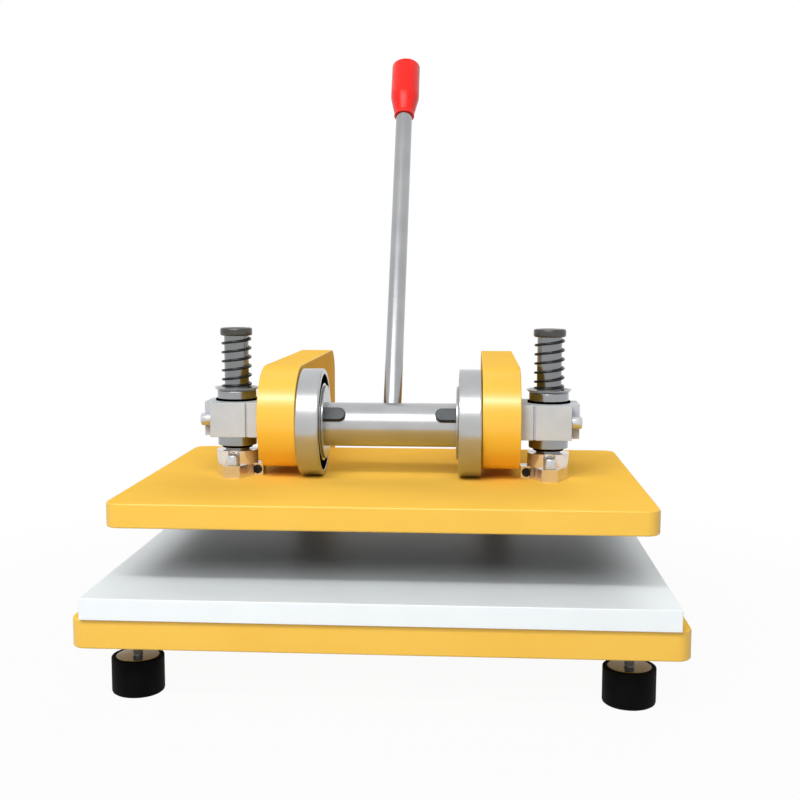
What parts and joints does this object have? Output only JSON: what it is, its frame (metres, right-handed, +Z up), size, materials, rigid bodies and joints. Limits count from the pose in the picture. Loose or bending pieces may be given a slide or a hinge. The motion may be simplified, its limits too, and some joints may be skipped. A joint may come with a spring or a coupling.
{
  "type": "manual die cutting machine",
  "caption": "Lever-operated die cutting press: yellow C-frame on rubber feet, eccentric rollers push a spring-lifted, rod-guided press plate onto a white cutting board.",
  "frame": {"origin": "centre of the footprint on the floor, under the rubber feet", "axes": "+Z up, +X to the right when facing the machine, the operator stands on the -Y side"},
  "size_m": [0.442, 0.394, 0.5173],
  "materials": {
    "yellow_paint": "smooth yellow paint on steel plate, satin gloss",
    "white_board": "white cutting board plastic, fine satin",
    "black_rubber": "moulded black rubber",
    "bright_steel": "ground bright steel",
    "race_steel": "polished bearing steel",
    "screw_steel": "zinc plated screw steel",
    "dark_steel": "oiled dark spring steel",
    "key_steel": "blue grey key steel",
    "bronze": "bearing bronze",
    "block_grey": "matt light grey machined blocks",
    "support_steel": "bright machined shaft supports",
    "grip_red": "red moulded grip"
  },
  "bodies": {
    "frame": {"base_plate": "yellow_paint", "left_arm": "yellow_paint", "right_arm": "yellow_paint", "arm_bolts": "dark_steel", "rubber_feet": "black_rubber", "foot_discs": "screw_steel", "foot_studs": "screw_steel", "left_shaft_bush": "bronze", "right_shaft_bush": "bronze", "left_guide_block": "block_grey", "right_guide_block": "block_grey", "block_screws": "screw_steel", "left_guide_bush": "bright_steel", "right_guide_bush": "bright_steel", "left_bush_ring": "black_rubber", "right_bush_ring": "black_rubber", "left_spring_seat": "bright_steel", "right_spring_seat": "bright_steel", "left_spring": "dark_steel", "right_spring": "dark_steel"},
    "board": {"cutting_board": "white_board"},
    "lever_shaft": {"cross_shaft": "bright_steel", "left_key": "key_steel", "right_key": "key_steel", "left_eccentric": "bright_steel", "right_eccentric": "bright_steel", "left_inner_race": "race_steel", "right_inner_race": "race_steel", "lever_rod": "bright_steel", "lever_grip": "grip_red"},
    "left_roller": {"left_outer_race": "race_steel", "left_seals": "black_rubber", "left_balls": "race_steel"},
    "right_roller": {"right_outer_race": "race_steel", "right_seals": "black_rubber", "right_balls": "race_steel"},
    "press": {"press_plate": "yellow_paint", "left_rod": "bright_steel", "right_rod": "bright_steel", "left_rod_cap": "dark_steel", "right_rod_cap": "dark_steel", "left_rod_support": "support_steel", "right_rod_support": "support_steel", "flange_screws": "screw_steel", "clamp_screws": "dark_steel"}
  },
  "joints": [
    {"name": "lever_pull", "type": "hinge", "parent": "frame", "child": "lever_shaft", "pos_m": [0, -0.04, 0.18829], "axis": [1, 0, 0], "range_deg": [0, 115]},
    {"name": "plate_press", "type": "slide", "parent": "frame", "child": "press", "axis": [0, 0, -1], "range_m": [0, 0.00425], "stiffness_N_per_m": 8000, "springref_m": -0.05, "deforming": ["left_spring", "right_spring"]},
    {"name": "left_roller_turn", "type": "hinge", "parent": "lever_shaft", "child": "left_roller", "pos_m": [-0.06475, -0.04134, 0.1904], "axis": [1, 0, 0], "continuous": true},
    {"name": "right_roller_turn", "type": "hinge", "parent": "lever_shaft", "child": "right_roller", "pos_m": [0.06475, -0.04134, 0.1904], "axis": [1, 0, 0], "continuous": true},
    {"name": "board_slide", "type": "slide", "parent": "frame", "child": "board", "axis": [0, -1, 0], "range_m": [0, 0.25]}
  ],
  "couplings": [
    {"joint": "plate_press", "follows": "lever_pull", "m_per_rad": 0.002101}
  ]
}
